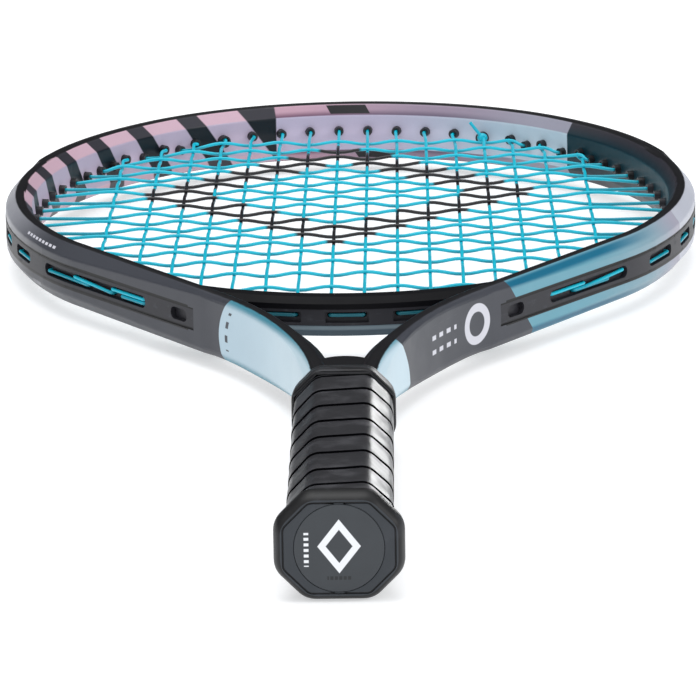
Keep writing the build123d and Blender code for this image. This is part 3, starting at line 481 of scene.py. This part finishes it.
def octagon(size, rounding):
    """Points (x, z) round an octagon with rounded corners, the same number for every size."""
    w, h, corner = size[0] / 2, size[1] / 2, size[2]
    corners = [Vector(p) for p in ((w, corner - h), (w, h - corner), (w - corner, h), (corner - w, h),
                                   (-w, h - corner), (-w, corner - h), (corner - w, -h), (w - corner, -h))]
    loop = []
    for k, here in enumerate(corners):
        before, after = corners[k - 1], corners[(k + 1) % 8]
        enter = here + (before - here).normalized() * rounding
        leave = here + (after - here).normalized() * rounding
        for step in range(CORNER_STEPS):
            t = step / CORNER_STEPS
            loop.append(enter * (1 - t) ** 2 + here * 2 * t * (1 - t) + leave * t * t)
        arrive = after - (after - here).normalized() * rounding
        for step in range(FACE_STEPS):
            loop.append(leave.lerp(arrive, step / FACE_STEPS))
    return loop


def ring(y, size, rounding=2.0):
    """An octagon round the handle at y; a single number is a circle's radius."""
    if isinstance(size, tuple):
        loop = octagon(size, rounding)
    else:
        loop = [p.normalized() * size for p in octagon(GRIP, 2.0)]
    return [(p.x, y, p.y) for p in loop]


def place(points):
    return [(x * MM, BUTT_Y + y * MM, STRING_Z + z * MM) for x, y, z in points]


def make_piece(name, points, faces, slot, replaced, crease=32, seam_shadow_faces=None):
    mesh = bpy.data.meshes.new(name)
    mesh.from_pydata(place(points), [], faces)
    if seam_shadow_faces:
        mesh.polygons.foreach_set("material_index", seam_shadow_faces)
    shape = bmesh.new()
    shape.from_mesh(mesh)
    loose = [v for v in shape.verts if not v.link_faces]
    bmesh.ops.delete(shape, geom=loose, context="VERTS")
    bmesh.ops.recalc_face_normals(shape, faces=shape.faces)
    for face in shape.faces:
        face.smooth = True
    for edge in shape.edges:
        edge.smooth = edge.calc_face_angle(0) < radians(crease)
    shape.to_mesh(mesh)
    shape.free()
    piece = bpy.data.objects.new(name, mesh)
    bpy.context.scene.collection.objects.link(piece)
    piece.data.materials.append(MATERIALS[slot])
    # The faces in the tape's seams take the second material, the painted seam shadow
    if seam_shadow_faces:
        piece.data.materials.append(MATERIALS["seam_shadow"])
    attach(piece, "root")
    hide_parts(replaced)
    return piece


def ring_faces(rings, count):
    """Quads from each ring to the next, and from the last back to the first."""
    faces = []
    for r in range(rings):
        near, far = r * count, (r + 1) % rings * count
        for k in range(count):
            n = (k + 1) % count
            faces.append((near + k, near + n, far + n, far + k))
    return faces


def turned(name, rings, slot, replaced):
    points = [p for one in rings for p in one]
    return make_piece(name, points, ring_faces(len(rings), len(rings[0])), slot, replaced)


def grown(size, amount):
    width, height, corner = size
    return width + 2 * amount, height + 2 * amount, corner + 0.6 * amount


def grip_size(y):
    for (y0, size0), (y1, size1) in zip(GRIP_SIZES, GRIP_SIZES[1:]):
        if y <= y1:
            share = (y - y0) / (y1 - y0)
            return tuple(a + (b - a) * share for a, b in zip(size0, size1))
    return GRIP


def lap_height(share):
    """How far the tape stands out along one turn, from its lower edge to the next one's."""
    steps = TAPE_LAP + [(1.0, TAPE_LAP[0][1])]
    for (p0, h0), (p1, h1) in zip(steps, steps[1:]):
        if share <= p1:
            return h0 + (h1 - h0) * (share - p0) / (p1 - p0)
    return steps[-1][1]


def highest_lap(y):
    """The most that the tape may stand out: it is pulled flat where the finishing tape holds it."""
    if y < PULLED_FLAT_FROM:
        return 1.0
    return max(LAP_BURIED, LAP_TOP - (y - PULLED_FLAT_FROM) * FLATTENS_BY)


def wound_grip():
    """Overgrip wound up the handle: every turn's lower edge lies over the turn below."""
    base = octagon(GRIP, TAPE_ROUNDING)
    count = len(base)
    lengths = [(base[(k + 1) % count] - base[k]).length for k in range(count)]
    shares = [sum(lengths[:k]) / sum(lengths) for k in range(count)]
    turns = int((GRIP_END - GRIP_START) / TAPE_PITCH) + 2
    steps = [(turn, share, height) for turn in range(turns) for share, height in TAPE_LAP]
    points, index, columns = [], {}, []
    for k in range(count):
        column = []
        for turn, share, height in steps:
            y = min(max(GRIP_START + (turn + share - shares[k]) * TAPE_PITCH, GRIP_START), GRIP_END)
            # Steps that are cut off at an end share one point there
            at_end = y in (GRIP_START, GRIP_END)
            key = (k, y) if at_end else (k, turn, share)
            if key not in index:
                if at_end:
                    share = ((y - GRIP_START) / TAPE_PITCH + shares[k]) % 1.0
                    height = lap_height(share)
                loop = octagon(grip_size(y), TAPE_ROUNDING)
                here = loop[k]
                tangent = loop[(k + 1) % count] - loop[k - 1]
                out = Vector((tangent.y, -tangent.x)).normalized()
                across, along = RIPPLE_SCALE
                spot = Vector((here.x * across, y * along, here.y * across))
                lift = min(height + noise.noise(spot) * TAPE_RIPPLE, highest_lap(y))
                index[key] = len(points)
                points.append((here.x + out.x * lift, y, here.y + out.y * lift))
            column.append(index[key])
        columns.append(column)
    faces, in_seam = [], []
    rows_per_turn = len(TAPE_LAP)
    for k in range(count):
        near, far = columns[k], columns[(k + 1) % count]
        shift = rows_per_turn if k == count - 1 else 0
        for r in range(len(steps) - 1 - shift):
            quad = [near[r + shift], near[r + 1 + shift], far[r + 1], far[r]]
            corners = list(dict.fromkeys(quad))
            if len(corners) > 2:
                faces.append(corners)
                share = TAPE_LAP[r % rows_per_turn][0]
                in_seam.append(int(share < SEAM_EDGES[0] or share >= SEAM_EDGES[1]))
    for y, size in ((GRIP_START, SKIRT), (SKIRT_TOP, SKIRT), (SKIRT_TOP, PALLET), (GRIP_END, PALLET)):
        points += ring(y, size, 1.0)
    first = len(points) - 4 * count
    rings = [[index[(k, GRIP_START)] for k in range(count)]]
    rings += [[first + r * count + k for k in range(count)] for r in range(4)]
    rings.append([index[(k, GRIP_END)] for k in range(count)])
    for a, b in zip(rings, rings[1:]):
        for k in range(count):
            n = (k + 1) % count
            faces.append((a[k], a[n], b[n], b[k]))
    in_seam += [0] * (len(faces) - len(in_seam))
    return make_piece("overgrip", points, faces, "grip", "grip_tape", crease=48, seam_shadow_faces=in_seam)


def cap_shell():
    """Butt cap: a flared octagonal lip, a flat face with a fine border groove and the plug's seat."""
    face = (34.5, 28.8, 8.0)
    lip = [(8.5, grown(face, 1.7)), (7.2, grown(face, 2.05)), (5.6, grown(face, 2.2)),
           (4.0, grown(face, 2.1)), (2.7, grown(face, 1.75)), (1.6, grown(face, 1.3)),
           (0.8, grown(face, 0.8)), (0.3, grown(face, 0.3)), (0.05, face)]
    border = [(0.0, grown(face, -0.35)), (0.35, grown(face, -0.5)), (0.35, grown(face, -0.8)),
              (0.0, grown(face, -0.95))]
    rings = [ring(SKIRT_TOP, SKIRT), ring(8.55, SKIRT)]
    rings += [ring(y, size, 3.0) for y, size in lip]
    rings += [ring(y, size, 1.2) for y, size in border]
    rings += [ring(0.0, PLUG_RADIUS + 0.35), ring(0.12, PLUG_RADIUS + 0.12), ring(0.5, PLUG_RADIUS + 0.05),
              ring(2.2, PLUG_RADIUS + 0.05), ring(2.2, 11.8), ring(3.0, 11.8),
              ring(3.0, PALLET, 1.0), ring(SKIRT_TOP, PALLET, 1.0)]
    return turned("cap_shell", rings, "cap_plastic", "butt_cap")


def collar_sleeve():
    """Rubber collar over the end of the tape, crowned, and moulded down to the two shafts."""
    outside = [(161.0, (32.9, 28.1, 7.6)), (161.4, (33.6, 28.8, 7.8)), (163.0, (33.9, 29.0, 7.9)),
               (166.5, (33.5, 28.4, 7.8)), (167.0, (33.0, 27.9, 7.7)), (167.5, (33.4, 28.0, 7.7)),
               (170.0, (33.1, 27.3, 7.5)), (174.0, (32.4, 25.6, 7.1)), (178.5, (31.4, 23.3, 6.7)),
               (182.5, (30.3, 21.4, 6.2)), (184.8, (29.3, 20.3, 5.8)), (185.7, (28.5, 19.6, 5.2)),
               (186.0, (27.8, 19.1, 4.8))]
    inside = [(186.0, (26.6, 18.2, 3.6)), (176.3, (26.6, 18.2, 3.6)), (176.1, PALLET), (166.2, PALLET),
              (166.0, GRIP), (165.2, GRIP), (165.1, grown(GRIP, 0.3)), (161.0, grown(GRIP, 0.3))]
    rings = [ring(y, size, 2.6) for y, size in outside] + [ring(y, size, 0.8) for y, size in inside]
    return turned("collar_sleeve", rings, "collar_rubber", "grip_collar")


# ---------------------------------------------------------------------------
# Floor and light
# ---------------------------------------------------------------------------
def make_floor():
    mesh = bpy.data.meshes.new("floor")
    mesh.from_pydata([(-6, -4, 0), (6, -4, 0), (6, 8, 0), (-6, 8, 0)], [], [(0, 1, 2, 3)])
    floor = bpy.data.objects.new("floor", mesh)
    bpy.context.scene.collection.objects.link(floor)
    material = bpy.data.materials.new("floor")
    material.use_nodes = True
    surface = material.node_tree.nodes["Principled BSDF"]
    surface.inputs["Base Color"].default_value = (0.62, 0.62, 0.625, 1)
    surface.inputs["Roughness"].default_value = 0.8
    surface.inputs["Specular IOR Level"].default_value = 0.1
    surface.inputs["Emission Color"].default_value = (0.98, 0.99, 1.0, 1)
    surface.inputs["Emission Strength"].default_value = 0.5
    mesh.materials.append(material)


def softbox(name, at, aim, size, watts, only=()):
    """A round soft light; with only, it lights just those pieces."""
    data = bpy.data.lights.new(name, "AREA")
    data.shape, data.size, data.energy = "DISK", size, watts
    light = bpy.data.objects.new(name, data)
    bpy.context.scene.collection.objects.link(light)
    light.location = at
    light.rotation_euler = (Vector(aim) - Vector(at)).to_track_quat("-Z", "Y").to_euler()
    if only:
        lit = bpy.data.collections.new(name + "_lit")
        for piece in only:
            lit.objects.link(piece)
        light.light_linking.receiver_collection = lit


# How the world darkens from the front and top to low behind the object: two levels of the
# gradient, and the strength at each
WORLD_DUSK, DUSK_TILT = (-0.9, 0.15, 1.0, 0.04), -1.6


def make_light(handle):
    world = bpy.data.worlds.new("studio")
    bpy.context.scene.world = world
    world.use_nodes = True
    nodes, links = world.node_tree.nodes, world.node_tree.links
    background = nodes["Background"]
    background.inputs["Color"].default_value = (0.97, 0.985, 1.0, 1)
    direction = nodes.new("ShaderNodeTexCoord").outputs["Generated"]
    apart = nodes.new("ShaderNodeSeparateXYZ")
    links.new(direction, apart.inputs[0])
    level = nodes.new("ShaderNodeMath")
    level.operation = "MULTIPLY_ADD"
    links.new(apart.outputs["Z"], level.inputs[0])
    level.inputs[1].default_value = DUSK_TILT
    links.new(apart.outputs["Y"], level.inputs[2])
    dusk = nodes.new("ShaderNodeMapRange")
    dusk.interpolation_type = "SMOOTHSTEP"
    links.new(level.outputs[0], dusk.inputs["Value"])
    for socket, value in zip(("From Min", "From Max", "To Min", "To Max"), WORLD_DUSK):
        dusk.inputs[socket].default_value = value
    links.new(dusk.outputs["Result"], background.inputs["Strength"])
    softbox("overhead", (-0.2, 0.1, 1.8), (0, 0, 0), 1.6, 18)
    softbox("from_right", (1.6, -0.5, 0.75), (0, -0.2, 0), 0.7, 8)
    softbox("behind_right", (0.75, 2.2, 0.22), (0, -0.2, 0.02), 0.5, 6, handle)
    bpy.context.scene.view_settings.view_transform = "Standard"


make_camera()
MATERIALS = {
    "frame_paint": frame_paint(),
    "bridge_paint": bridge_paint(),
    "guard_nylon": nylon("guard_nylon", rgb(18, 18, 21), rgb(58, 58, 64), 0.4),
    "strip_nylon": nylon("strip_nylon", rgb(42, 42, 47), rgb(70, 72, 78), 0.42, 0.22, True),
    "string": string_material("string", True),
    "knot": string_material("knot", False),
    "pallet_foam": foam(),
    "cap_plastic": rubber("cap_plastic", rgb(13, 13, 15), rgb(52, 56, 61), 0.46),
    "plug_plastic": plug_material(),
    "staple_steel": steel(),
    "grip": grip_material(),
    "seam_shadow": seam_shadow(),
    "tape": nylon("tape", rgb(26, 26, 29), rgb(52, 52, 57), 0.35),
    "collar_rubber": rubber("collar_rubber", rgb(24, 24, 27), rgb(24, 24, 27), 0.4),
}
FINISH = {
    "frame_hairpin": "frame_paint", "throat_bridge": "bridge_paint", "head_guard": "guard_nylon",
    "grommet_strip_left": "strip_nylon", "grommet_strip_right": "strip_nylon",
    "grommet_strip_bridge": "strip_nylon", "main_string": "string", "cross_string": "string",
    "main_string_knots": "knot", "cross_string_knots": "knot", "pallet_upper": "pallet_foam",
    "pallet_lower": "pallet_foam", "butt_cap_plug": "plug_plastic",
    "butt_cap_staples": "staple_steel", "finishing_tape": "tape",
}
for node, finish in FINISH.items():
    NODES[node].data.materials.clear()
    NODES[node].data.materials.append(MATERIALS[finish])
handle = [wound_grip(), cap_shell(), collar_sleeve()]
make_floor()
make_light(handle)
